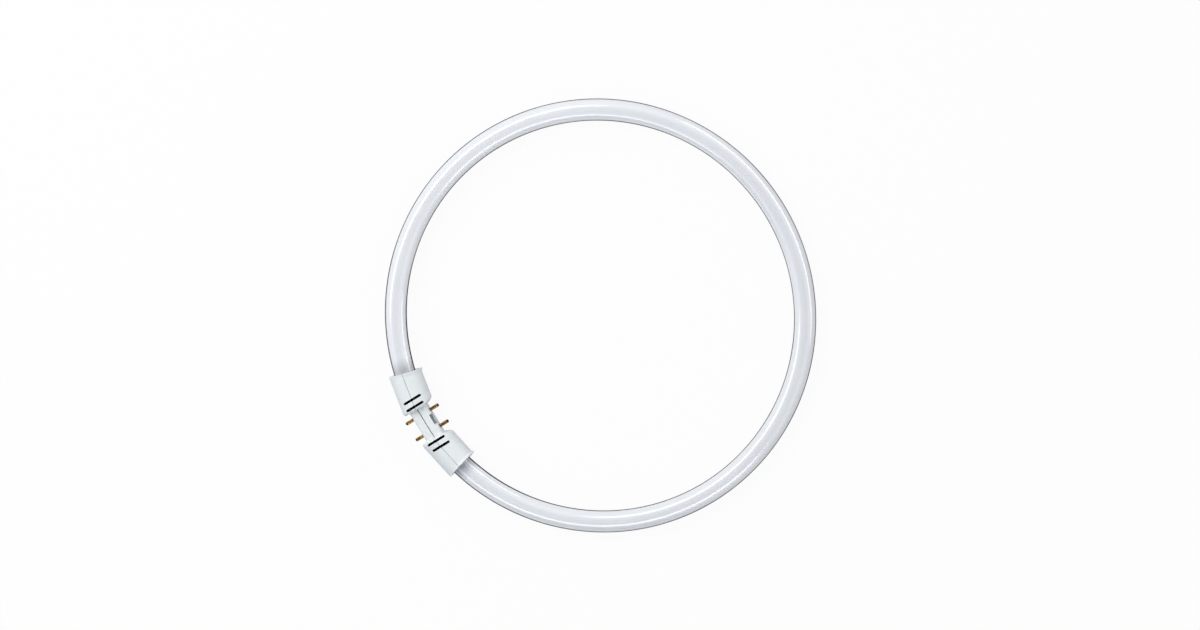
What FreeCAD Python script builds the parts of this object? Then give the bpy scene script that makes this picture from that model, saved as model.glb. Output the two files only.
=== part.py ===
import FreeCAD, Part
import math
import os

# A ring-shaped fluorescent lamp: one sealed glass tube bent round a circle, and a plastic base
# that bridges its two ends and carries two pairs of contact pins.
# Millimetres. The ring lies in the XY plane round the origin, and the base is centred on -Y.

# Glass tube
ring_outer_diameter = 300.0
tube_diameter = 15.2
tube_end_offset = 22.0          # from the base's middle plane to each sealed end
tube_end_round = 2.5
exhaust_tip_diameter = 4.0
exhaust_tip_length = 4.0
exhaust_tip_round = 1.4

# Collars of the base, one round each tube end
collar_diameter = 23.0
collar_wall = 1.6
mouth_offset = 37.4             # from the base's middle plane to the middle of each mouth
mouth_rim = 2.0                 # thickness of the wall that the tube passes through
tube_clearance = 0.2
rim_overhang = 0.5              # of the flared mouth over the collar, all round
rim_shift = 0.8                 # of the rim's middle from the tube's, towards the ring's centre
flare_length = 3.2
flare_round = 0.3
shoulder_offset = 11.4          # from the base's middle plane to the collar's neck end
shoulder_wall = 1.2
shoulder_round = 1.8            # along the edge of that end
shoulder_blend = 6.0            # between its flat face and its slanted corner
inner_shoulder_length = 2.0     # slanted corner on the side of the ring's centre
cradle_setback = 3.0            # from the tube's sealed end to the rib that carries it
cradle_width = 1.6

# Neck of the base, between the collars
neck_width = 13.0
neck_height = 12.0
neck_wall = 2.2
neck_corner = 2.2
notch_length = 7.4
notch_depth = 1.4
notch_drop = 6.5                # how far the notch runs down from the neck's top
notch_round = 0.6

# Joint between the two half shells
seam_gap = 0.16
neck_seam_gap = 0.5
boss_diameter = 4.4
dowel_diameter = 2.2
dowel_length = 3.0
dowel_clearance = 0.1

# Vent slots in the top of each collar
slot_width = 1.8
slot_length = 14.0
slot_inset = 2.5                # from the collar's neck end to the middle of the first slot
slot_pitch = 5.0
slot_count = 2

# Contact pins
pin_diameter = 2.35
pin_pitch = 13.0
pin_reach = 7.0                 # out of the neck's wall
pin_tip_round = 0.8
pin_shank_diameter = 2.9        # thicker part held in the neck's wall
pin_clearance = 0.05
pin_flange_diameter = 4.0
pin_flange_thickness = 0.9
pin_tail_diameter = 1.5
pin_tail_length = 1.0

# Lead wires, two from each sealed end
wire_diameter = 0.6
wire_spacing = 6.8              # between the two wires where they leave the glass
wire_neck_spacing = 1.4         # between them where they run along the neck
wire_bend = 1.2
wire_sweep = 3.0

# Values that follow from the sizes above
tube_radius = tube_diameter / 2
ring_radius = ring_outer_diameter / 2 - tube_radius
collar_radius = collar_diameter / 2
rim_radius = collar_radius + rim_overhang
base_y = -ring_radius           # the neck's middle line
mouth_angle = math.asin(mouth_offset / ring_radius)
end_angle = math.asin(tube_end_offset / ring_radius)
cradle_angle = end_angle + (cradle_setback + cradle_width / 2) / ring_radius
rim_angle = mouth_angle - mouth_rim / ring_radius
bore_radius = tube_radius + tube_clearance
cavity_half_width = neck_width / 2 - neck_wall
cavity_half_height = neck_height / 2 - neck_wall
reach = 2 * collar_diameter     # long enough for any cutting body to pass right through the base
up = FreeCAD.Vector(0, 0, 1)


def ring_point(angle, radius=ring_radius):
    """Point on the right-hand side of the ring, at an angle from the base's middle."""
    return FreeCAD.Vector(radius * math.sin(angle), -radius * math.cos(angle), 0)


def ring_tangent(angle):
    """Direction along the tube there, leading away from the base."""
    return FreeCAD.Vector(math.cos(angle), math.sin(angle), 0)


knee = FreeCAD.Vector(shoulder_offset, base_y, 0)
mouth = ring_point(mouth_angle)
collar_axis = (mouth - knee).normalize()


def mirrored(shape):
    """The same shape on the other side of the base's middle plane."""
    return shape.mirror(FreeCAD.Vector(0, 0, 0), FreeCAD.Vector(1, 0, 0))


def plan_prism(points, bottom, top):
    """Upright body over a polygon in plan."""
    corners = [FreeCAD.Vector(x, y, bottom) for x, y in points]
    outline = Part.makePolygon(corners + corners[:1])
    return Part.Face(outline).extrude(FreeCAD.Vector(0, 0, top - bottom))


def slab(origin, normal, depth):
    """Upright block that starts at a point and runs for a depth along a level direction."""
    side = normal.cross(up) * reach
    far = origin + normal * depth
    corners = [origin - side, far - side, far + side, origin + side]
    return plan_prism([(p.x, p.y) for p in corners], -reach, reach)


def collar_bar(radius):
    """Round bar along the right-hand collar's axis, longer than the collar at both ends."""
    start = knee - collar_axis * collar_diameter
    length = (mouth - knee).Length + 2 * collar_diameter
    return Part.makeCylinder(radius, length, start, collar_axis)


def shoulder_cutter(inset):
    """What lies on the neck's side of the right-hand collar's end, moved into the collar by an inset."""
    across = collar_radius
    lean = math.atan2(inner_shoulder_length, collar_radius - neck_width / 2)
    level = base_y + neck_width / 2 - inset * math.tan((math.pi / 2 - lean) / 2)
    face_x = shoulder_offset + inset
    far_y = base_y + neck_width / 2 + across
    corner_x = face_x + (far_y - level) * math.tan(lean)
    points = [
        (face_x - reach, base_y - reach),
        (face_x, base_y - reach),
        (face_x, level),
        (corner_x, far_y),
        (face_x - reach, far_y),
    ]
    return plan_prism(points, -reach, reach)


def end_faces(collar):
    """The upright faces at the collar's neck end: two flat ones, and the blend between them if it is made."""
    faces = []
    for face in collar.Faces:
        flat = isinstance(face.Surface, Part.Plane) and face.normalAt(0, 0).dot(collar_axis) < -0.3
        blend = isinstance(face.Surface, Part.Cylinder) and abs(face.Surface.Axis.z) > 0.9
        if flat or blend:
            faces.append(face)
    return faces


def is_upright(edge):
    """Whether an edge is a straight line along Z."""
    return isinstance(edge.Curve, Part.Line) and abs(edge.tangentAt(edge.FirstParameter).z) > 0.9


def round_shoulder(collar):
    """Blend the two flat faces of the collar's neck end into each other, then round their outline."""
    corner = [e for e in collar.Edges if is_upright(e)]
    blended = collar.makeFillet(shoulder_blend, corner)
    outline = [e for face in end_faces(blended) for e in face.Edges if not is_upright(e)]
    return blended.makeFillet(shoulder_round, outline)


def flare():
    """Slanted cone that widens the collar towards its mouth, most of all on the side of the ring's centre."""
    tangent = ring_tangent(mouth_angle)
    inward = up.cross(tangent)
    rim_middle = mouth + inward * rim_shift
    root_middle = mouth - collar_axis * flare_length
    root = Part.makeCircle(collar_radius - flare_round, root_middle, collar_axis)
    rim = Part.makeCircle(rim_radius, rim_middle, tangent)
    cone = Part.makeLoft([Part.Wire(root), Part.Wire(rim)], True, True)
    rim_edges = [e for e in cone.Edges if (e.CenterOfMass - rim_middle).Length < flare_round]
    return cone.makeFillet(flare_round, rim_edges)


def collar_body():
    """Right-hand collar as a solid bar with its shoulder and its flared mouth."""
    past_mouth = slab(mouth, ring_tangent(mouth_angle), 2 * reach)
    bar = collar_bar(collar_radius).cut(shoulder_cutter(0)).cut(past_mouth)
    return round_shoulder(bar).fuse(flare())


def neck_body():
    """Bar with rounded long edges that joins the two collars."""
    half_length = shoulder_offset + shoulder_wall
    size = (2 * half_length, neck_width, neck_height)
    corner = FreeCAD.Vector(-half_length, base_y - neck_width / 2, -neck_height / 2)
    bar = Part.makeBox(*size, corner)
    long_edges = [e for e in bar.Edges if abs(e.tangentAt(0).x) > 0.9]
    return bar.makeFillet(neck_corner, long_edges)


def collar_cavity():
    """Hollow of the right-hand collar, parted by the rib that carries the tube's end."""
    hollow = collar_bar(collar_radius - collar_wall).cut(shoulder_cutter(shoulder_wall))
    hollow = hollow.cut(slab(ring_point(rim_angle), ring_tangent(rim_angle), 3 * reach))
    rib_start = ring_point(cradle_angle) - ring_tangent(cradle_angle) * (cradle_width / 2)
    return hollow.cut(slab(rib_start, ring_tangent(cradle_angle), cradle_width))


def tube_sweep(radius, start_angle, stop_angle):
    """Round bar along the ring's circle between two angles from the base's middle."""
    circle = Part.makeCircle(radius, ring_point(start_angle), ring_tangent(start_angle))
    section = Part.Face(Part.Wire(circle))
    return section.revolve(FreeCAD.Vector(0, 0, 0), up, math.degrees(stop_angle - start_angle))


def neck_cavity():
    """Hollow of the neck, open into both collars."""
    half_length = shoulder_offset + shoulder_wall + collar_wall
    corner = FreeCAD.Vector(-half_length, base_y - cavity_half_width, -cavity_half_height)
    return Part.makeBox(2 * half_length, 2 * cavity_half_width, 2 * cavity_half_height, corner)


def vent_slots():
    """Cutters for the right-hand collar's slots: long holes with round ends, through the top wall only."""
    cutters = []
    straight = slot_length - slot_width
    for number in range(slot_count):
        x = shoulder_offset + slot_inset + number * slot_pitch
        y = base_y + (x - shoulder_offset) * collar_axis.y / collar_axis.x
        bottom = (collar_radius - collar_wall) / 3
        corner = FreeCAD.Vector(x - slot_width / 2, y - straight / 2, bottom)
        cutter = Part.makeBox(slot_width, straight, collar_diameter, corner)
        for end in (-1, 1):
            place = FreeCAD.Vector(x, y + end * straight / 2, bottom)
            cutter = cutter.fuse(Part.makeCylinder(slot_width / 2, collar_diameter, place, up))
        cutters.append(cutter)
    return cutters


def notch():
    """Cutter for the notch in the neck's wall on the side of the ring's centre."""
    wall_y = base_y + neck_width / 2
    corner = FreeCAD.Vector(-notch_length / 2, wall_y - notch_depth, neck_height / 2 - notch_drop)
    block = Part.makeBox(notch_length, 2 * notch_depth, 2 * notch_drop, corner)
    back_edges = [e for e in block.Edges if is_upright(e) and e.CenterOfMass.y < wall_y]
    return block.makeFillet(notch_round, back_edges)


def pin_holes():
    """Cutters for the four holes that the pins pass through."""
    cutters = []
    for side in (-1, 1):
        start = FreeCAD.Vector(side * pin_pitch / 2, base_y - neck_width, 0)
        radius = pin_shank_diameter / 2 + pin_clearance
        cutters.append(Part.makeCylinder(radius, 2 * neck_width, start, FreeCAD.Vector(0, 1, 0)))
    return cutters


def base_body():
    """Outside form of the whole base, still solid."""
    collar = collar_body()
    return neck_body().fuse([collar, mirrored(collar)]).removeSplitter()


def base_openings():
    """Everything that is cut out of the base: its hollows, the tube's bores, slots, pin holes and notch."""
    bore = tube_sweep(bore_radius, end_angle, mouth_angle + mouth_rim / ring_radius)
    cutters = [neck_cavity(), notch()] + pin_holes()
    for shape in [collar_cavity(), bore] + vent_slots():
        cutters += [shape, mirrored(shape)]
    return cutters


def seam_side(direction):
    """Everything on one side of the seam, +1 towards the ring's centre and -1 away from it."""
    far = knee + collar_axis * (2 * reach)
    shift = direction * seam_gap / 2
    edge = base_y + direction * 2 * reach
    points = [
        (-far.x, far.y + shift),
        (-knee.x, knee.y + shift),
        (knee.x, knee.y + shift),
        (far.x, far.y + shift),
        (far.x, edge),
        (-far.x, edge),
    ]
    return plan_prism(points, -reach, reach)


def neck_seam():
    """Cutter that opens the seam along the neck."""
    half_length = shoulder_offset
    corner = FreeCAD.Vector(-half_length, base_y - neck_seam_gap / 2, -neck_height)
    return Part.makeBox(2 * half_length, neck_seam_gap, 2 * neck_height, corner)


def boss(direction):
    """Post inside the neck that seats one half shell on the other."""
    start = FreeCAD.Vector(0, base_y, 0)
    length = cavity_half_width + (neck_wall - notch_depth) / 2
    return Part.makeCylinder(boss_diameter / 2, length, start, FreeCAD.Vector(0, direction, 0))


def base_half(direction):
    """One half shell of the base with its post."""
    half = base_body().common(seam_side(direction))
    for cutter in base_openings() + [neck_seam()]:
        half = half.cut(cutter)
    return half.fuse(boss(direction)).removeSplitter()


def base_inner_half():
    """Half shell on the side of the ring's centre, with the socket for the dowel."""
    depth = dowel_length + dowel_clearance
    start = FreeCAD.Vector(0, base_y, 0)
    socket = Part.makeCylinder(dowel_diameter / 2 + dowel_clearance, depth, start, FreeCAD.Vector(0, 1, 0))
    return base_half(1).cut(socket)


def base_outer_half():
    """Half shell on the outside of the ring, with the dowel on its post."""
    start = FreeCAD.Vector(0, base_y, 0)
    dowel = Part.makeCylinder(dowel_diameter / 2, dowel_length, start, FreeCAD.Vector(0, 1, 0))
    return base_half(-1).fuse(dowel).removeSplitter()


def glass_tube():
    """Sealed tube: a round bar along the circle, with rounded ends and a short exhaust tip on each."""
    body = tube_sweep(tube_radius, end_angle, 2 * math.pi - end_angle)
    end_edges = [e for face in body.Faces if isinstance(face.Surface, Part.Plane) for e in face.Edges]
    body = body.makeFillet(tube_end_round, end_edges)
    tangent = ring_tangent(end_angle)
    seal = ring_point(end_angle)
    far_end = seal - tangent * exhaust_tip_length
    tip = Part.makeCylinder(exhaust_tip_diameter / 2, exhaust_tip_length, seal, tangent * -1)
    far_edges = [e for e in tip.Edges if (e.CenterOfMass - far_end).Length < exhaust_tip_length / 4]
    tip = tip.makeFillet(exhaust_tip_round, far_edges)
    return body.fuse([tip, mirrored(tip)]).removeSplitter()


def contact_pin(side, direction):
    """Turned pin: rounded tip, shank in the neck's wall, flange seated inside it, and a tail for the wire."""
    radius = pin_diameter / 2
    length = neck_wall + pin_reach
    tail_end = -pin_flange_thickness - pin_tail_length
    round_middle = FreeCAD.Vector(radius - pin_tip_round, length - pin_tip_round, 0)
    diagonal = pin_tip_round * math.sqrt(0.5)
    arc_start = round_middle + FreeCAD.Vector(pin_tip_round, 0, 0)
    arc_middle = round_middle + FreeCAD.Vector(diagonal, diagonal, 0)
    arc_end = round_middle + FreeCAD.Vector(0, pin_tip_round, 0)
    points = [
        (0, length),
        (0, tail_end),
        (pin_tail_diameter / 2, tail_end),
        (pin_tail_diameter / 2, -pin_flange_thickness),
        (pin_flange_diameter / 2, -pin_flange_thickness),
        (pin_flange_diameter / 2, 0),
        (pin_shank_diameter / 2, 0),
        (pin_shank_diameter / 2, neck_wall),
        (radius, neck_wall),
    ]
    corners = [arc_end] + [FreeCAD.Vector(x, y, 0) for x, y in points] + [arc_start]
    edges = [Part.LineSegment(a, b).toShape() for a, b in zip(corners, corners[1:]) if (a - b).Length > 1e-6]
    edges.append(Part.Arc(arc_start, arc_middle, arc_end).toShape())
    pin = Part.Face(Part.Wire(edges)).revolve(FreeCAD.Vector(0, 0, 0), FreeCAD.Vector(0, 1, 0), 360)
    if direction < 0:
        pin.rotate(FreeCAD.Vector(0, 0, 0), up, 180)
    seat_y = base_y + direction * cavity_half_width
    pin.translate(FreeCAD.Vector(side * pin_pitch / 2, seat_y, 0))
    return pin


def rounded_path(points, radii):
    """Straight runs joined by tangent arcs, one radius for each corner between the first and last points."""
    edges = []
    start = points[0]
    for before, corner, after, radius in zip(points, points[1:], points[2:], radii):
        arriving = (corner - before).normalize()
        leaving = (after - corner).normalize()
        turn = arriving.getAngle(leaving)
        cut_back = radius * math.tan(turn / 2)
        arc_start = corner - arriving * cut_back
        arc_end = corner + leaving * cut_back
        inward = (leaving - arriving).normalize()
        arc_middle = corner + inward * (radius / math.cos(turn / 2) - radius)
        edges.append(Part.LineSegment(start, arc_start).toShape())
        edges.append(Part.Arc(arc_start, arc_middle, arc_end).toShape())
        start = arc_end
    edges.append(Part.LineSegment(start, points[-1]).toShape())
    return Part.Wire(edges)


def lead_wire(side, direction):
    """Wire from a sealed end of the tube to the tail of the pin on its own side."""
    tangent = ring_tangent(end_angle)
    start = ring_point(end_angle, ring_radius - direction * wire_spacing / 2)
    past_tip = start - tangent * exhaust_tip_length
    run_y = base_y + direction * wire_neck_spacing / 2
    tail_y = base_y + direction * (cavity_half_width - pin_flange_thickness - pin_tail_length)
    points = [
        start,
        past_tip,
        FreeCAD.Vector(shoulder_offset, run_y, 0),
        FreeCAD.Vector(pin_pitch / 2, run_y, 0),
        FreeCAD.Vector(pin_pitch / 2, tail_y, 0),
    ]
    path = rounded_path(points, [wire_sweep, wire_sweep, wire_bend])
    section = Part.Wire(Part.makeCircle(wire_diameter / 2, start, tangent))
    wire = path.makePipeShell([section], True, True)
    return wire if side > 0 else mirrored(wire)


def build():
    """All pieces by the name of their node."""
    pieces = {
        "glass_tube": glass_tube(),
        "base_inner_half": base_inner_half(),
        "base_outer_half": base_outer_half(),
    }
    for row, direction in (("inner", 1), ("outer", -1)):
        for end, side in (("left", -1), ("right", 1)):
            pieces[f"contact_pin_{row}_{end}"] = contact_pin(side, direction)
            pieces[f"lead_wire_{row}_{end}"] = lead_wire(side, direction)
    return pieces


os.makedirs("parts", exist_ok=True)
for name, shape in build().items():
    shape.exportStep(f"parts/{name}.step")
    print(name, len(shape.Solids), "solid", shape.isValid(), "volume", round(shape.Volume, 1))
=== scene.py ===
"""Looks of a ring-shaped fluorescent lamp: coated glass tube, moulded base, brass pins and lead wires."""

import logging
import math
from dataclasses import dataclass
from enum import Enum
from typing import Any, Dict, Optional, Tuple, Union

import bpy
import numpy as np
from mathutils import Matrix, Vector


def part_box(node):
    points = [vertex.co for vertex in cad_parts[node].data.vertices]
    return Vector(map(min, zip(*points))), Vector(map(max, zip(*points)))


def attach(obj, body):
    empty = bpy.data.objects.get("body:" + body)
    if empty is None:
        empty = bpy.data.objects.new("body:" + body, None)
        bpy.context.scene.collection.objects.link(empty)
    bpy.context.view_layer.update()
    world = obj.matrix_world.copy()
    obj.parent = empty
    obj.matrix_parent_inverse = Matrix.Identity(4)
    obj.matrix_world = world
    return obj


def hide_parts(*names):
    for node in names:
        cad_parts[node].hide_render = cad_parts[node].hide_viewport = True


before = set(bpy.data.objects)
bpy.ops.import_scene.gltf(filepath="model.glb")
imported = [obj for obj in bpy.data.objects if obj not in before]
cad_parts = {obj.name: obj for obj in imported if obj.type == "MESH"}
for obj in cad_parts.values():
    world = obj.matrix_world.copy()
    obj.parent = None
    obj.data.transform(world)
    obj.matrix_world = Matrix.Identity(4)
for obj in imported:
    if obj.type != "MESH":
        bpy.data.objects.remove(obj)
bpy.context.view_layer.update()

LOG = logging.getLogger("ring_lamp")
MM = 0.001

Colour = Tuple[float, float, float]
Limits = Tuple[float, float]
Points = np.ndarray


class Signal:
    """A shader socket that Python arithmetic works on: each operator adds one Math node."""

    def __init__(self, sheet: "ShaderSheet", socket: bpy.types.NodeSocket) -> None:
        """Keep the socket and the sheet that new nodes go on."""
        self.sheet = sheet
        self.socket = socket

    def _math(self, operation: str, first: "Operand", second: "Operand" = 0.0) -> "Signal":
        """Add a Math node.

        Args:
            operation: Blender's name of the operation.
            first: left-hand operand.
            second: right-hand operand.

        Returns:
            The node's value.
        """
        return self.sheet.node("ShaderNodeMath", "Value", {"operation": operation}, {0: first, 1: second})

    def __add__(self, other: "Operand") -> "Signal":
        """Sum."""
        return self._math("ADD", self, other)

    __radd__ = __add__

    def __sub__(self, other: "Operand") -> "Signal":
        """Difference."""
        return self._math("SUBTRACT", self, other)

    def __rsub__(self, other: "Operand") -> "Signal":
        """Difference with the signal on the right."""
        return self._math("SUBTRACT", other, self)

    def __mul__(self, other: "Operand") -> "Signal":
        """Product."""
        return self._math("MULTIPLY", self, other)

    __rmul__ = __mul__

    def __abs__(self) -> "Signal":
        """Size without sign."""
        return self._math("ABSOLUTE", self)

    def root(self) -> "Signal":
        """Square root."""
        return self._math("SQRT", self)

    def lower(self, other: "Operand") -> "Signal":
        """The lower of two values."""
        return self._math("MINIMUM", self, other)

    def higher(self, other: "Operand") -> "Signal":
        """The higher of two values."""
        return self._math("MAXIMUM", self, other)

    def step(self, start: float, stop: float) -> "Signal":
        """Smooth step.

        Args:
            start: value that gives 0.
            stop: value that gives 1; it may be the lower of the two.

        Returns:
            A value that eases from 0 to 1.
        """
        low, high = (start, stop) if start < stop else (stop, start)
        ends = {3: 0.0, 4: 1.0} if start < stop else {3: 1.0, 4: 0.0}
        settings = {"interpolation_type": "SMOOTHSTEP"}
        return self.sheet.node("ShaderNodeMapRange", "Result", settings, {0: self, 1: low, 2: high, **ends})


Operand = Union[Signal, float]


class ShaderSheet:
    """The node tree of one material or of the world."""

    def __init__(self, tree: bpy.types.NodeTree) -> None:
        """Start with an empty tree."""
        self.tree = tree
        tree.nodes.clear()

    def node(
        self,
        kind: str,
        output: Union[str, int],
        settings: Optional[Dict[str, Any]] = None,
        inputs: Optional[Dict[Union[str, int], Any]] = None,
    ) -> Signal:
        """Add one node.

        Args:
            kind: Blender's type of the node.
            output: name or number of the output that is wanted.
            settings: properties of the node, set before its sockets.
            inputs: for each input socket a link or a fixed value.

        Returns:
            The wanted output.
        """
        made = self.tree.nodes.new(kind)
        for name, value in (settings or {}).items():
            setattr(made, name, value)
        for name, value in (inputs or {}).items():
            if isinstance(value, Signal):
                self.tree.links.new(value.socket, made.inputs[name])
            else:
                made.inputs[name].default_value = value
        return Signal(self, made.outputs[output])

    def object_place(self) -> Signal:
        """Place on the piece, in metres."""
        return self.node("ShaderNodeTexCoord", "Object")

    def uv_place(self) -> Signal:
        """Place on the piece's own UV map."""
        return self.node("ShaderNodeTexCoord", "UV")

    def outward(self) -> Signal:
        """Direction that the surface faces, in the part's own axes."""
        return self.node("ShaderNodeNewGeometry", "Normal")

    def split(self, vector: Signal) -> Tuple[Signal, Signal, Signal]:
        """Take a vector apart.

        Args:
            vector: link that carries a vector.

        Returns:
            Its three parts.
        """
        parts = self.node("ShaderNodeSeparateXYZ", 0, None, {0: vector})
        outputs = parts.socket.node.outputs
        return tuple(Signal(self, outputs[number]) for number in range(3))

    def join(self, x: Operand, y: Operand, z: Operand) -> Signal:
        """A vector from its three parts."""
        return self.node("ShaderNodeCombineXYZ", 0, None, {0: x, 1: y, 2: z})

    def noise(self, place: Signal, scale: float, detail: float = 2.0, roughness: float = 0.5) -> Signal:
        """Soft random field.

        Args:
            place: where on the piece.
            scale: features per unit of place.
            detail: octaves of finer noise.
            roughness: strength of the finer octaves.

        Returns:
            A value from 0 to 1, mostly near one half.
        """
        inputs = {"Vector": place, "Scale": scale, "Detail": detail, "Roughness": roughness}
        return self.node("ShaderNodeTexNoise", 0, None, inputs)

    def blend(self, factor: Operand, first: Any, second: Any) -> Signal:
        """Mix two colours.

        Args:
            factor: 0 gives the first colour and 1 the second.
            first: colour or link.
            second: colour or link.

        Returns:
            The mixed colour.
        """
        pair = [value if isinstance(value, Signal) else (*value, 1.0) for value in (first, second)]
        return self.node("ShaderNodeMix", 2, {"data_type": "RGBA"}, {0: factor, 6: pair[0], 7: pair[1]})

    def bump(self, height: Signal, depth: float, strength: float, normal: Optional[Signal] = None) -> Signal:
        """Surface normal bent by a height field.

        Args:
            height: field from 0 to 1.
            depth: what 1 stands for, in metres.
            strength: share of the effect.
            normal: normal to bend, where it isn't the surface's own.

        Returns:
            The bent normal.
        """
        inputs = {"Height": height, "Distance": depth, "Strength": strength}
        if normal is not None:
            inputs["Normal"] = normal
        return self.node("ShaderNodeBump", 0, None, inputs)

    def principled(self, inputs: Dict[str, Any]) -> Signal:
        """The general surface shader with the given sockets."""
        return self.node("ShaderNodeBsdfPrincipled", 0, None, inputs)

    def surface(self, shader: Signal) -> None:
        """Make a shader the material's surface."""
        self.node_output("ShaderNodeOutputMaterial", shader)

    def node_output(self, kind: str, shader: Signal) -> None:
        """Add an output node of a kind and feed its first socket."""
        made = self.tree.nodes.new(kind)
        self.tree.links.new(shader.socket, made.inputs[0])


def new_material(name: str) -> Tuple[bpy.types.Material, ShaderSheet]:
    """Start a material.

    Args:
        name: name of the material.

    Returns:
        The material with an empty node tree, and its sheet.
    """
    material = bpy.data.materials.new(name)
    material.use_nodes = True
    return material, ShaderSheet(material.node_tree)


def dress(piece: bpy.types.Object, material: bpy.types.Material) -> None:
    """Give a piece one material on all its faces."""
    piece.data.materials.clear()
    piece.data.materials.append(material)


@dataclass(frozen=True)
class BasePlan:
    """Sizes of the base that its finishes follow: a neck on the ring's circle and a collar at each end."""

    ring_radius: float
    shoulder_offset: float = 11.4 * MM
    shoulder_slant: float = 0.4
    shoulder_wall: float = 1.2 * MM
    neck_half_width: float = 6.5 * MM
    cavity_half_width: float = 4.3 * MM
    cavity_half_height: float = 3.8 * MM
    collar_radius: float = 11.5 * MM
    collar_wall: float = 1.6 * MM
    mouth_offset: float = 37.4 * MM
    mouth_rim: float = 2.0 * MM
    seam_half_gap: float = 0.08 * MM
    neck_seam_half_gap: float = 0.25 * MM
    notch_half_length: float = 3.7 * MM
    notch_depth: float = 1.4 * MM
    notch_floor: float = -0.5 * MM

    @property
    def mouth_rise(self) -> float:
        """How far the mouth lies inwards of the neck's middle line."""
        return self.ring_radius - math.sqrt(self.ring_radius ** 2 - self.mouth_offset ** 2)

    @property
    def collar_angle(self) -> float:
        """Angle of the collar's axis to the neck."""
        return math.atan2(self.mouth_rise, self.mouth_offset - self.shoulder_offset)

    @property
    def collar_length(self) -> float:
        """Length of the collar along its axis."""
        return math.hypot(self.mouth_rise, self.mouth_offset - self.shoulder_offset)


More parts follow.
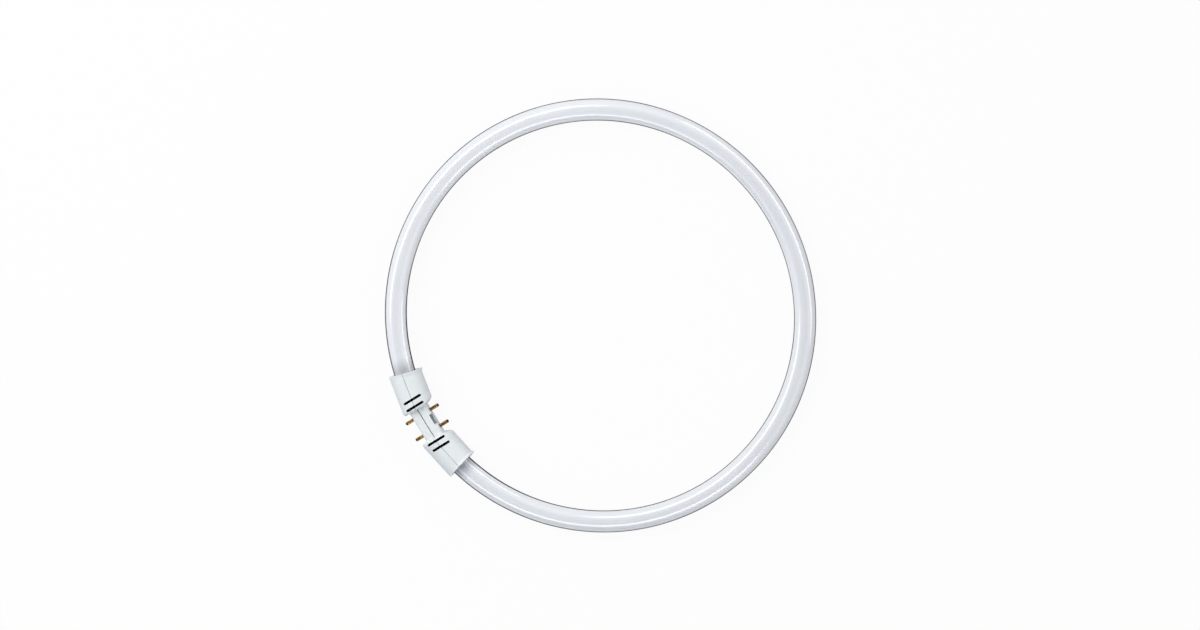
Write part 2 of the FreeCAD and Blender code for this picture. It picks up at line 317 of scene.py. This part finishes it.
@dataclass(frozen=True)
class CoatedGlass:
    """Clear glass over the white powder that coats it inside.

    The tube is greyer where it leaves the base, and the powder is missing at the sealed ends. Light that gets
    through it spreads inside the tube and evens its shading. Along both sides of the tube runs a thin dark
    line of painted shade that stands for the glass wall seen edge-on and broadens towards the base. A pair of
    limits holds the values at which a mask is 0 and 1, and those of the ends are distances from the nearer
    seal.
    """

    length: float
    tip_length: float
    around: float
    powder: Colour = (0.875, 0.885, 0.917)
    powder_thin: Colour = (0.845, 0.858, 0.895)
    end_grey: Colour = (0.50, 0.505, 0.545)
    bare_end: Colour = (0.02, 0.02, 0.022)
    # colours of the painted shade along the tube's sides
    painted_edge_dark: Colour = (0.010, 0.011, 0.013)
    painted_edge_pale: Colour = (0.17, 0.175, 0.195)
    spread: float = 0.45
    streaks_along: float = 9.0
    streaks_around: float = 160.0
    cloud_scale: float = 45.0
    speck_scale: float = 2600.0
    streak_share: float = 0.45
    cloud_share: float = 0.45
    speck_share: float = 0.1
    thin_limits: Limits = (0.38, 0.64)
    grey_limits: Limits = (31.0 * MM, 20.0 * MM)
    grey_wander: float = 6.0 * MM
    bare_limits: Limits = (10.0 * MM, 6.0 * MM)
    drift_along: float = 14.0
    drift_around: float = 3.0
    drift_limits: Limits = (0.36, 0.62)
    near_limits: Limits = (130.0 * MM, 30.0 * MM)
    near_broadening: float = 0.09
    facing_limits: Limits = (0.54, 0.70)
    upward_limits: Limits = (0.40, 0.85)
    upward_fade: float = 0.75
    roughness: float = 0.5
    roughness_range: float = 0.15
    speck_depth: float = 0.02 * MM
    speck_strength: float = 0.12
    coat_roughness: float = 0.12
    coat_ior: float = 2.0
    edge_coat_loss: float = 0.8

    def evened(self, sheet: ShaderSheet) -> Signal:
        """Lean the surface normal upwards by the share of light that spreads inside the tube.

        Args:
            sheet: the material's sheet.

        Returns:
            The leant normal.
        """
        share = (1.0 - self.spread,) * 3
        inputs = {0: sheet.outward(), 1: share, 2: (0.0, 0.0, self.spread)}
        leant = sheet.node("ShaderNodeVectorMath", 0, {"operation": "MULTIPLY_ADD"}, inputs)
        return sheet.node("ShaderNodeVectorMath", 0, {"operation": "NORMALIZE"}, {0: leant})

    def edge(self, sheet: ShaderSheet, near_end: Signal) -> Signal:
        """Mask of the painted shade that stands for the glass wall seen edge-on, faded on the tube's top and
        underside.

        Args:
            sheet: the material's sheet.
            near_end: 1 beside the base and 0 further along the tube.

        Returns:
            1 along both sides of the tube and 0 between them.
        """
        facing = sheet.node("ShaderNodeLayerWeight", "Facing", None, {"Blend": 0.5})
        upward = abs(sheet.split(sheet.outward())[2]).step(*self.upward_limits)
        side = (facing + near_end * self.near_broadening).step(*self.facing_limits)
        return side * (1.0 - upward * self.upward_fade)

    def make(self) -> bpy.types.Material:
        """Build the material.

        Returns:
            The material of the whole tube.
        """
        material, sheet = new_material("coated_glass")
        u, v, _ = sheet.split(sheet.uv_place())
        along = u * (self.length + 2 * self.tip_length) - self.tip_length
        from_end = along.lower(self.length - along)
        near_end = from_end.step(*self.near_limits)
        streak_place = sheet.join(along * self.streaks_along, v * self.around * self.streaks_around, 0.0)
        streaks = sheet.noise(streak_place, 1.0, 3.0)
        clouds = sheet.noise(sheet.object_place(), self.cloud_scale, 3.0)
        specks = sheet.noise(sheet.object_place(), self.speck_scale, 1.0)
        thin = streaks * self.streak_share + clouds * self.cloud_share + specks * self.speck_share
        colour = sheet.blend(thin.step(*self.thin_limits), self.powder, self.powder_thin)
        grey = (from_end + clouds * self.grey_wander).step(*self.grey_limits)
        colour = sheet.blend(grey, colour, self.end_grey)
        colour = sheet.blend(from_end.step(*self.bare_limits), colour, self.bare_end)
        drift = sheet.noise(sheet.join(along * self.drift_along, v * self.drift_around, 0.0), 1.0, 1.0)
        pale = drift.step(*self.drift_limits) * (1.0 - near_end)
        # painted shade along both sides of the tube, broader near the base and darker or paler at random
        # along it
        edge = self.edge(sheet, near_end)
        colour = sheet.blend(edge, colour, sheet.blend(pale, self.painted_edge_dark, self.painted_edge_pale))
        shader = sheet.principled({
            "Base Color": colour,
            "Roughness": self.roughness + specks * self.roughness_range,
            "Specular IOR Level": 0.0,
            "Normal": sheet.bump(specks, self.speck_depth, self.speck_strength, self.evened(sheet)),
            "Coat Weight": 1.0 - edge * self.edge_coat_loss,
            "Coat Roughness": self.coat_roughness,
            "Coat IOR": self.coat_ior,
        })
        sheet.surface(shader)
        return material


@dataclass(frozen=True)
class MouldedPlastic:
    """Cool white satin plastic with a fine moulded grain, with painted shade inside the shells and along
    their seam.

    A pair of limits holds the values at which a mask is 0 and 1. A pair of margins does so for distances past
    the size that the mask follows.
    """

    plan: BasePlan
    body: Colour = (0.857, 0.886, 0.89)
    flow: Colour = (0.826, 0.857, 0.865)
    # painted shade inside the shells
    painted_hollow_shade: Colour = (0.012, 0.013, 0.014)
    # painted shade in the seam's gap
    painted_seam_shade: Colour = (0.03, 0.032, 0.035)
    # painted shade on the notch's back wall
    painted_notch_shade: Colour = (0.19, 0.222, 0.238)
    soft: float = 0.1 * MM
    rim_share: float = 0.7
    neck_side_margins: Limits = (0.4 * MM, 0.2 * MM)
    neck_roof_margins: Limits = (1.2 * MM, 0.8 * MM)
    collar_seam_soft: float = 0.08 * MM
    neck_seam_soft: float = 0.02 * MM
    notch_back_margins: Limits = (-0.3 * MM, -0.1 * MM)
    notch_front_margins: Limits = (0.2 * MM, 0.1 * MM)
    cloud_scale: float = 70.0
    grain_scale: float = 3000.0
    mottle_scale: float = 600.0
    coarse_share: float = 0.7
    fine_share: float = 0.3
    flow_limits: Limits = (0.36, 0.66)
    roughness: float = 0.44
    roughness_range: float = 0.14
    grain_depth: float = 0.04 * MM
    grain_strength: float = 0.3

    def inside(self, sheet: ShaderSheet) -> Signal:
        """Mask of the walls' inner sides, which are painted near-black as painted shade.

        A point is inside a collar where it is nearer to the collar's axis than the middle of its wall, past
        the middle of the shoulder wall and short of the mouth's rim. It is inside the neck where it is nearer
        to the neck's middle line than the middle of its walls and no further out than the shoulder wall.

        Args:
            sheet: the material's sheet.

        Returns:
            1 inside and 0 outside.
        """
        plan, soft = self.plan, self.soft
        x, y, z = sheet.split(sheet.object_place())
        reach, lift = abs(x) - plan.shoulder_offset, y + plan.ring_radius
        turn = plan.collar_angle
        along = reach * math.cos(turn) + lift * math.sin(turn)
        across = lift * math.cos(turn) - reach * math.sin(turn)
        wall_middle = plan.collar_radius - plan.collar_wall / 2
        in_wall = (across * across + z * z).root().step(wall_middle + soft, wall_middle - soft)
        slant = (lift - plan.neck_half_width).higher(0.0) * plan.shoulder_slant
        shoulder_middle = plan.shoulder_wall / 2
        past_shoulder = (reach - slant).step(shoulder_middle - soft, shoulder_middle + soft)
        rim = plan.collar_length - plan.mouth_rim * self.rim_share
        collar = in_wall * past_shoulder * along.step(rim + soft, rim)
        neck_wide = abs(lift).step(*(plan.cavity_half_width + margin for margin in self.neck_side_margins))
        neck_high = abs(z).step(*(plan.cavity_half_height + margin for margin in self.neck_roof_margins))
        neck_long = reach.step(plan.shoulder_wall + soft, plan.shoulder_wall)
        return collar.higher(neck_wide * neck_high * neck_long)

    def seam(self, sheet: ShaderSheet) -> Signal:
        """Mask of the narrow gap between the halves, painted dark as painted shade: a line along the neck and
        along each collar's axis.

        Args:
            sheet: the material's sheet.

        Returns:
            1 on the line and 0 beside it.
        """
        plan, soft = self.plan, self.soft
        x, y, _ = sheet.split(sheet.object_place())
        reach, lift = abs(x) - plan.shoulder_offset, y + plan.ring_radius
        across = abs(lift * math.cos(plan.collar_angle) - reach * math.sin(plan.collar_angle))
        collar_line = across.step(plan.seam_half_gap + self.collar_seam_soft, plan.seam_half_gap)
        neck_line = abs(lift).step(plan.neck_seam_half_gap + self.neck_seam_soft, plan.neck_seam_half_gap)
        on_collar = collar_line * reach.step(-soft, soft)
        on_neck = neck_line * reach.step(soft, -soft)
        return on_collar.higher(on_neck)

    def notch(self, sheet: ShaderSheet) -> Signal:
        """Mask of the notch's back wall, which is painted darker as painted shade.

        Args:
            sheet: the material's sheet.

        Returns:
            1 on the back wall and 0 elsewhere.
        """
        plan, soft = self.plan, self.soft
        x, y, z = sheet.split(sheet.object_place())
        depth = plan.neck_half_width - (y + plan.ring_radius)
        back = depth.step(*(plan.notch_depth + margin for margin in self.notch_back_margins))
        front = depth.step(*(plan.notch_depth + margin for margin in self.notch_front_margins))
        between = abs(x).step(plan.notch_half_length + soft, plan.notch_half_length)
        return back * front * between * z.step(plan.notch_floor - soft, plan.notch_floor + soft)

    def make(self) -> bpy.types.Material:
        """Build the material.

        Returns:
            The material of both half shells.
        """
        material, sheet = new_material("moulded_plastic")
        place = sheet.object_place()
        clouds = sheet.noise(place, self.cloud_scale, 3.0)
        grain = sheet.noise(place, self.grain_scale, 2.0)
        mottle = sheet.noise(place, self.mottle_scale, 2.0)
        flowed = (clouds * self.coarse_share + mottle * self.fine_share).step(*self.flow_limits)
        colour = sheet.blend(flowed, self.body, self.flow)
        # painted shade in the gap between the halves
        colour = sheet.blend(self.seam(sheet), colour, self.painted_seam_shade)
        # painted shade on the notch's back wall
        colour = sheet.blend(self.notch(sheet), colour, self.painted_notch_shade)
        # painted shade on the walls' inner sides, near-black where they are seen through the slots
        colour = sheet.blend(self.inside(sheet), colour, self.painted_hollow_shade)
        height = grain * self.coarse_share + mottle * self.fine_share
        shader = sheet.principled({
            "Base Color": colour,
            "Roughness": self.roughness + grain * self.roughness_range,
            "Normal": sheet.bump(height, self.grain_depth, self.grain_strength),
        })
        sheet.surface(shader)
        return material


@dataclass(frozen=True)
class TurnedBrass:
    """Dull turned brass with fine rings round each pin, near-black at its tip, with painted shade where it
    leaves the base.

    A pair of limits holds the values at which a mask is 0 and 1, and those of the tip and the root are
    distances from the middle line of the base.
    """

    plan: BasePlan
    bright: Colour = (0.47, 0.25, 0.072)
    tarnish: Colour = (0.09, 0.045, 0.014)
    tip: Colour = (0.014, 0.010, 0.007)
    cloud_scale: float = 520.0
    cloud_roughness: float = 0.6
    rings_along: float = 5200.0
    rings_across: float = 20.0
    cloud_share: float = 0.75
    ring_share: float = 0.25
    worn_limits: Limits = (0.36, 0.64)
    darkening_wander: float = 1.0 * MM
    tip_limits: Limits = (12.6 * MM, 13.4 * MM)
    root_limits: Limits = (8.0 * MM, 7.0 * MM)
    root_share: float = 0.8
    roughness: float = 0.08
    roughness_range: float = 0.12
    ring_depth: float = 0.02 * MM
    ring_strength: float = 0.35

    def make(self) -> bpy.types.Material:
        """Build the material.

        Returns:
            The material of all four pins.
        """
        material, sheet = new_material("turned_brass")
        place = sheet.object_place()
        clouds = sheet.noise(place, self.cloud_scale, 4.0, self.cloud_roughness)
        x, y, z = sheet.split(place)
        ring_place = sheet.join(x * self.rings_across, y * self.rings_along, z * self.rings_across)
        rings = sheet.noise(ring_place, 1.0, 1.0)
        worn = (clouds * self.cloud_share + rings * self.ring_share).step(*self.worn_limits)
        colour = sheet.blend(worn, self.bright, self.tarnish)
        darkening_reach = abs(y + self.plan.ring_radius) + clouds * self.darkening_wander
        colour = sheet.blend(darkening_reach.step(*self.tip_limits), colour, self.tip)
        # painted shade where the pin leaves the base
        colour = sheet.blend(darkening_reach.step(*self.root_limits) * self.root_share, colour, self.tip)
        shader = sheet.principled({
            "Base Color": colour,
            "Metallic": 1.0,
            "Roughness": self.roughness + clouds * self.roughness_range,
            "Normal": sheet.bump(rings, self.ring_depth, self.ring_strength),
        })
        sheet.surface(shader)
        return material


@dataclass(frozen=True)
class DrawnWire:
    """Grey drawn wire, dulled by the heat of sealing."""

    metal: Colour = (0.30, 0.285, 0.26)
    dull: Colour = (0.12, 0.115, 0.11)
    cloud_scale: float = 900.0
    dull_limits: Limits = (0.35, 0.65)
    roughness: float = 0.3
    roughness_range: float = 0.3

    def make(self) -> bpy.types.Material:
        """Build the material.

        Returns:
            The material of all four wires.
        """
        material, sheet = new_material("drawn_wire")
        clouds = sheet.noise(sheet.object_place(), self.cloud_scale, 3.0)
        shader = sheet.principled({
            "Base Color": sheet.blend(clouds.step(*self.dull_limits), self.metal, self.dull),
            "Metallic": 1.0,
            "Roughness": self.roughness + clouds * self.roughness_range,
        })
        sheet.surface(shader)
        return material


class Reach(Enum):
    """What a lamp lights: only reflections, or everything but reflections."""

    GLOSS = "gloss"
    DIFFUSE = "diffuse"


def grid_mesh(name: str, points: Points, u: np.ndarray, v: np.ndarray) -> bpy.types.Mesh:
    """Closed surface from a grid whose columns wrap round and whose first and last rows are single points.

    Each cell of the grid becomes a face: a quad between two rings, or a triangle at a pole. The last column
    joins the first, and the UV map runs from 0 to 1 along both directions.

    Args:
        name: name of the mesh.
        points: places as rows by columns by 3.
        u: UV coordinate of each row.
        v: UV coordinate of each column, with one more at the end for the seam.

    Returns:
        The mesh, shaded smooth.
    """
    rows, columns = points.shape[:2]
    bands = rows - 3
    rings = points[1:-1].reshape(-1, 3)
    vertices = np.concatenate([rings, points[:1, 0], points[-1:, 0]])
    column = np.arange(columns)
    following = (column + 1) % columns
    ring = np.arange(bands)[:, None] * columns
    after = ring + columns
    quads = np.stack([ring + column, ring + following, after + following, after + column], -1)
    start_pole, end_pole = len(rings), len(rings) + 1
    last = bands * columns
    first_fan = np.stack([np.full(columns, start_pole), following, column], -1)
    last_fan = np.stack([np.full(columns, end_pole), last + column, last + following], -1)
    faces = quads.reshape(-1, 4).tolist() + first_fan.tolist() + last_fan.tolist()
    mesh = bpy.data.meshes.new(name)
    mesh.from_pydata(vertices.tolist(), [], faces)
    low, high = v[:-1], v[1:]
    middle = (low + high) / 2
    cell_u = np.stack([u[1:-2], u[1:-2], u[2:-1], u[2:-1]], -1)[:, None, :].repeat(columns, 1)
    cell_v = np.stack([low, high, high, low], -1)[None].repeat(bands, 0)
    first_u = np.tile([u[0], u[1], u[1]], columns)
    last_u = np.tile([u[-1], u[-2], u[-2]], columns)
    first_v = np.stack([middle, high, low], -1)
    last_v = np.stack([middle, low, high], -1)
    loop_u = np.concatenate([cell_u.ravel(), first_u, last_u])
    loop_v = np.concatenate([cell_v.ravel(), first_v.ravel(), last_v.ravel()])
    mesh.uv_layers.new(name="surface").data.foreach_set("uv", np.stack([loop_u, loop_v], -1).ravel())
    mesh.polygons.foreach_set("use_smooth", np.ones(len(mesh.polygons), bool))
    mesh.update()
    return mesh


def place_mesh(mesh: bpy.types.Mesh) -> bpy.types.Object:
    """Put a mesh into the scene at the origin.

    Args:
        mesh: the mesh, with its place in its vertices.

    Returns:
        The object, which has the mesh's name.
    """
    piece = bpy.data.objects.new(mesh.name, mesh)
    bpy.context.scene.collection.objects.link(piece)
    return piece


@dataclass
class GlassRing:
    """The sealed tube, bent round a circle, with rounded ends and an exhaust tip on each."""

    tube_radius: float
    ring_radius: float
    end_offset: float = 22.0 * MM
    end_round: float = 2.5 * MM
    tip_radius: float = 2.0 * MM
    tip_length: float = 4.0 * MM
    tip_round: float = 1.4 * MM
    tip_root: float = 0.2 * MM
    steps_along: int = 560
    steps_around: int = 80
    steps_round: int = 9

    @classmethod
    def from_frame(cls) -> "GlassRing":
        """Read the ring's and the tube's radius from the node that this piece stands for.

        Returns:
            The ring with those sizes.
        """
        low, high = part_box("glass_tube")
        tube_radius = (high.z - low.z) / 2
        return cls(tube_radius, (high.x - low.x) / 2 - tube_radius)

    @property
    def end_angle(self) -> float:
        """Angle from the base's middle to a sealed end."""
        return math.asin(self.end_offset / self.ring_radius)

    @property
    def length(self) -> float:
        """Length of the tube along its middle line, from seal to seal."""
        return self.ring_radius * (2 * math.pi - 2 * self.end_angle)

    def end_profile(self) -> np.ndarray:
        """Radius against place along the tube, from the exhaust tip's pole to the full tube.

        The tip ends flat with a quarter-circle edge, runs straight to the seal, steps out along the flat
        seal, and a second quarter circle leads into the tube's wall.

        Returns:
            Rows of place and radius.
        """
        turn = np.linspace(0.0, math.pi / 2, self.steps_round)
        tip = np.stack([
            -self.tip_length + self.tip_round * (1 - np.cos(turn)),
            self.tip_radius - self.tip_round + self.tip_round * np.sin(turn),
        ], -1)
        edge = np.stack([
            self.end_round * (1 - np.cos(turn)),
            self.tube_radius - self.end_round + self.end_round * np.sin(turn),
        ], -1)
        pole = [[-self.tip_length, 0.0]]
        seal = [[-self.tip_root, self.tip_radius], [0.0, self.tip_radius + self.tip_root]]
        return np.concatenate([pole, tip, seal, edge])

    def profile(self) -> np.ndarray:
        """Radius against place along the whole tube: both ends and an even run between them.

        Returns:
            Rows of place and radius.
        """
        start = self.end_profile()
        finish = np.stack([self.length - start[::-1, 0], start[::-1, 1]], -1)
        places = np.linspace(self.end_round, self.length - self.end_round, self.steps_along)[1:-1]
        run = np.stack([places, np.full_like(places, self.tube_radius)], -1)
        return np.concatenate([start, run, finish])

    def surface(self, profile: np.ndarray) -> Points:
        """Sweep a circle of changing radius along the ring.

        The middle line is the circle, carried on straight past each seal. Every section stands square to it,
        so a point is the middle line plus radius times (cos a along the ring's radius, sin a along Z).

        Args:
            profile: rows of place and radius.

        Returns:
            Places as rows by columns by 3.
        """
        place, radius = profile[:, 0], profile[:, 1]
        on_ring = np.clip(place, 0.0, self.length)
        past = (place - on_ring)[:, None]
        angle = -math.pi / 2 + self.end_angle + on_ring / self.ring_radius
        outward = np.stack([np.cos(angle), np.sin(angle), np.zeros_like(angle)], -1)
        tangent = np.stack([-np.sin(angle), np.cos(angle), np.zeros_like(angle)], -1)
        middle = outward * self.ring_radius + tangent * past
        turn = -math.pi / 2 - np.linspace(0.0, 2 * math.pi, self.steps_around, endpoint=False)
        across = (radius[:, None] * np.cos(turn))[..., None] * outward[:, None, :]
        upward = (radius[:, None] * np.sin(turn))[..., None] * np.array([0.0, 0.0, 1.0])
        return middle[:, None, :] + across + upward

    def build(self) -> None:
        """Make the tube in place of its CAD node."""
        profile = self.profile()
        u = (profile[:, 0] + self.tip_length) / (self.length + 2 * self.tip_length)
        v = np.linspace(0.0, 1.0, self.steps_around + 1)
        piece = place_mesh(grid_mesh("glass_ring", self.surface(profile), u, v))
        dress(piece, CoatedGlass(self.length, self.tip_length, 2 * math.pi * self.tube_radius).make())
        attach(piece, "root")
        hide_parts("glass_tube")
        LOG.info("glass ring: %d faces", len(piece.data.polygons))


@dataclass
class LampBase:
    """The two half shells that bridge the tube's ends."""

    plan: BasePlan
    halves: Tuple[str, ...] = ("base_inner_half", "base_outer_half")

    def build(self) -> None:
        """Dress the half shells."""
        plastic = MouldedPlastic(self.plan).make()
        for name in self.halves:
            dress(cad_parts[name], plastic)
            LOG.info("half shell: %s", name)


@dataclass
class Contacts:
    """The four pins and the wires that lead to them."""

    plan: BasePlan
    rows: Tuple[str, ...] = ("inner", "outer")
    ends: Tuple[str, ...] = ("left", "right")

    def build(self) -> None:
        """Dress the pins and the wires."""
        brass = TurnedBrass(self.plan).make()
        wire = DrawnWire().make()
        for row in self.rows:
            for end in self.ends:
                dress(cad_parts[f"contact_pin_{row}_{end}"], brass)
                dress(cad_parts[f"lead_wire_{row}_{end}"], wire)
                LOG.info("contact: %s %s", row, end)


@dataclass
class PhotoView:
    """The camera: a long lens over the ring, leaning away from the base."""

    picture_turn: float = math.radians(57.81)
    lean: float = math.radians(10.76)
    lean_towards: float = math.radians(34.7)
    distance: float = 5.0
    pixels_per_metre: float = 1454.5
    picture_size: Tuple[int, int] = (1200, 630)
    ring_centre_pixel: Tuple[float, float] = (599.6, 316.1)
    sensor: float = 36.0
    clip_end: float = 20.0

    def level(self, picture_angle: float) -> Vector:
        """Level direction in the part's frame for a direction in the picture."""
        angle = picture_angle + self.picture_turn
        return Vector((math.cos(angle), math.sin(angle), 0.0))

    def axes(self) -> Tuple[Vector, Vector, Vector]:
        """Directions of the camera, leant from the vertical.

        Returns:
            Its right, up and backward directions.
        """
        back = self.level(self.lean_towards) * math.sin(self.lean) + Vector((0.0, 0.0, math.cos(self.lean)))
        upward = self.level(math.pi / 2)
        upward = (upward - back * upward.dot(back)).normalized()
        return upward.cross(back), upward, back

    def build(self) -> None:
        """Place the camera and make it the scene's own."""
        right, upward, back = self.axes()
        width, height = self.picture_size
        aside = (width / 2 - self.ring_centre_pixel[0]) / self.pixels_per_metre
        above = (self.ring_centre_pixel[1] - height / 2) / self.pixels_per_metre
        place = right * aside + upward * above + back * self.distance
        lens = bpy.data.cameras.new("photo_view")
        lens.sensor_width = self.sensor
        lens.lens = self.sensor * self.distance * self.pixels_per_metre / width
        lens.clip_end = self.clip_end
        camera = bpy.data.objects.new("photo_view", lens)
        bpy.context.scene.collection.objects.link(camera)
        turn = Matrix((right, upward, back)).transposed().to_4x4()
        camera.matrix_world = Matrix.Translation(place) @ turn
        bpy.context.scene.camera = camera
        LOG.info("camera: lens %.1f mm", lens.lens)


@dataclass(frozen=True)
class Lamp:
    """A rectangular lamp that faces the ring's centre.

    Its bearing in the picture and its height above the floor are in degrees, and its sizes in metres.
    """

    name: str
    bearing: float
    height: float
    width: float
    depth: float
    radiance: float
    reach: Reach
    distance: float = 1.6

    def build(self, view: PhotoView) -> None:
        """Hang the lamp.

        Args:
            view: the camera that the bearing is seen from.
        """
        rise = math.radians(self.height)
        level = view.level(math.radians(self.bearing))
        place = (level * math.cos(rise) + Vector((0.0, 0.0, math.sin(rise)))) * self.distance
        light = bpy.data.lights.new(self.name, "AREA")
        light.shape = "RECTANGLE"
        light.size = self.width
        light.size_y = self.depth
        light.energy = self.radiance * math.pi * self.width * self.depth
        lamp = bpy.data.objects.new(self.name, light)
        bpy.context.scene.collection.objects.link(lamp)
        lamp.matrix_world = Matrix.Translation(place) @ place.to_track_quat("Z", "Y").to_matrix().to_4x4()
        lamp.visible_camera = False
        lamp.visible_diffuse = self.reach is Reach.DIFFUSE
        lamp.visible_glossy = self.reach is Reach.GLOSS


@dataclass
class Studio:
    """Pale floor, a softly lit room, one soft lamp from the upper left and strips that the glass reflects.

    Angles are in degrees: the walls' top and the ceiling's start above the floor, the dim side as a bearing
    in the picture.
    """

    view: PhotoView
    floor_half: float = 6.0
    floor_colour: Colour = (0.86, 0.86, 0.86)
    floor_white: float = 0.94
    bounce_colour: Colour = (0.26, 0.26, 0.27)
    room_colour: Colour = (0.96, 0.98, 1.0)
    room_level: float = 1.04
    room_zenith: float = 0.10
    wall_top: float = 40.0
    ceiling_start: float = 75.0
    horizon_soft: float = 0.01
    dim_side: float = 246.0
    dim_colour: Colour = (0.55, 0.78, 1.0)
    dim_share: float = 0.8
    dim_limits: Limits = (0.62, 0.95)
    lamps: Tuple[Lamp, ...] = (
        Lamp("soft_key", 145.0, 52.0, 1.2, 1.2, 2.5, Reach.DIFFUSE),
        Lamp("strip_left", 144.0, 45.0, 2.2, 0.40, 2.6, Reach.GLOSS),
        Lamp("strip_right", 30.0, 18.0, 2.8, 0.40, 2.6, Reach.GLOSS),
        Lamp("strip_low", 268.0, 41.9, 1.0, 0.20, 2.6, Reach.GLOSS, 0.81),
    )

    def floor_corners(self) -> Points:
        """Corners of the plane that touches the collars' undersides and the tube's far side.

        The plane rises evenly along Y from the lowest point of the base to the lowest point of the tube.

        Returns:
            Places of the four corners, in order round the floor.
        """
        base_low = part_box("base_outer_half")[0]
        inner_low, inner_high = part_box("base_inner_half")
        tube_low, tube_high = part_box("glass_tube")
        base_y = (inner_low.y + inner_high.y) / 2
        tube_y = tube_high.y + tube_low.z
        slope = (tube_low.z - base_low.z) / (tube_y - base_y)
        corner = np.array([[-1, -1], [1, -1], [1, 1], [-1, 1]]) * self.floor_half
        height = base_low.z + (corner[:, 1] - base_y) * slope
        return np.column_stack([corner, height])

    def floor_finish(self) -> bpy.types.Material:
        """White to the camera and in reflections, with the object's shadow kept, and darker to other rays.

        Returns:
            The floor's material.
        """
        material, sheet = new_material("pale_floor")
        path = sheet.node("ShaderNodeLightPath", "Is Camera Ray")
        outputs = path.socket.node.outputs
        seen = path.higher(Signal(sheet, outputs["Is Glossy Ray"]))
        seen = seen.higher(Signal(sheet, outputs["Is Transmission Ray"]))
        lit = sheet.node("ShaderNodeBsdfDiffuse", 0, None, {"Color": (*self.floor_colour, 1.0)})
        white = sheet.node("ShaderNodeEmission", 0, None, {"Color": (1.0, 1.0, 1.0, 1.0), "Strength": 1.0})
        shown = sheet.node("ShaderNodeMixShader", 0, None, {0: self.floor_white, 1: lit, 2: white})
        bounce = sheet.node("ShaderNodeBsdfDiffuse", 0, None, {"Color": (*self.bounce_colour, 1.0)})
        sheet.surface(sheet.node("ShaderNodeMixShader", 0, None, {0: seen, 1: bounce, 2: shown}))
        return material

    def floor(self) -> None:
        """Lay the floor."""
        mesh = bpy.data.meshes.new("floor")
        mesh.from_pydata(self.floor_corners().tolist(), [], [(0, 1, 2, 3)])
        piece = place_mesh(mesh)
        dress(piece, self.floor_finish())

    def room(self) -> None:
        """Soft light from all round, with a dark ceiling, one dim side and none from below the floor.

        The level falls from the walls' to the zenith's between the walls' top and the start of the ceiling.
        It also falls, and the light turns bluer, between the limits of a direction's part along the dim
        side's bearing.
        """
        world = bpy.data.worlds.new("soft_room")
        bpy.context.scene.world = world
        world.use_nodes = True
        sheet = ShaderSheet(world.node_tree)
        x, y, rise = sheet.split(sheet.node("ShaderNodeTexCoord", "Generated"))
        towards = self.view.level(math.radians(self.dim_side))
        dim = (x * towards.x + y * towards.y).step(*self.dim_limits)
        ceiling_rise = math.sin(math.radians(self.ceiling_start))
        wall_rise = math.sin(math.radians(self.wall_top))
        around = rise.step(ceiling_rise, wall_rise)
        above_floor = rise.step(-self.horizon_soft, self.horizon_soft)
        level = (self.room_zenith + around * (self.room_level - self.room_zenith)) * above_floor
        level = level * (1.0 - dim * self.dim_share)
        colour = sheet.blend(dim, self.room_colour, self.dim_colour)
        glow = sheet.node("ShaderNodeBackground", 0, None, {0: colour, 1: level})
        sheet.node_output("ShaderNodeOutputWorld", glow)

    def build(self) -> None:
        """Set up the floor, the room and the lamps."""
        self.floor()
        self.room()
        for lamp in self.lamps:
            lamp.build(self.view)
            LOG.info("lamp: %s", lamp.name)


def main() -> None:
    """Build the lamp, the camera and the studio."""
    logging.basicConfig(level=logging.INFO, format="%(message)s")
    bpy.context.scene.view_settings.view_transform = "Standard"
    ring = GlassRing.from_frame()
    ring.build()
    plan = BasePlan(ring.ring_radius)
    LampBase(plan).build()
    Contacts(plan).build()
    view = PhotoView()
    view.build()
    Studio(view).build()


if __name__ == "__main__":
    main()
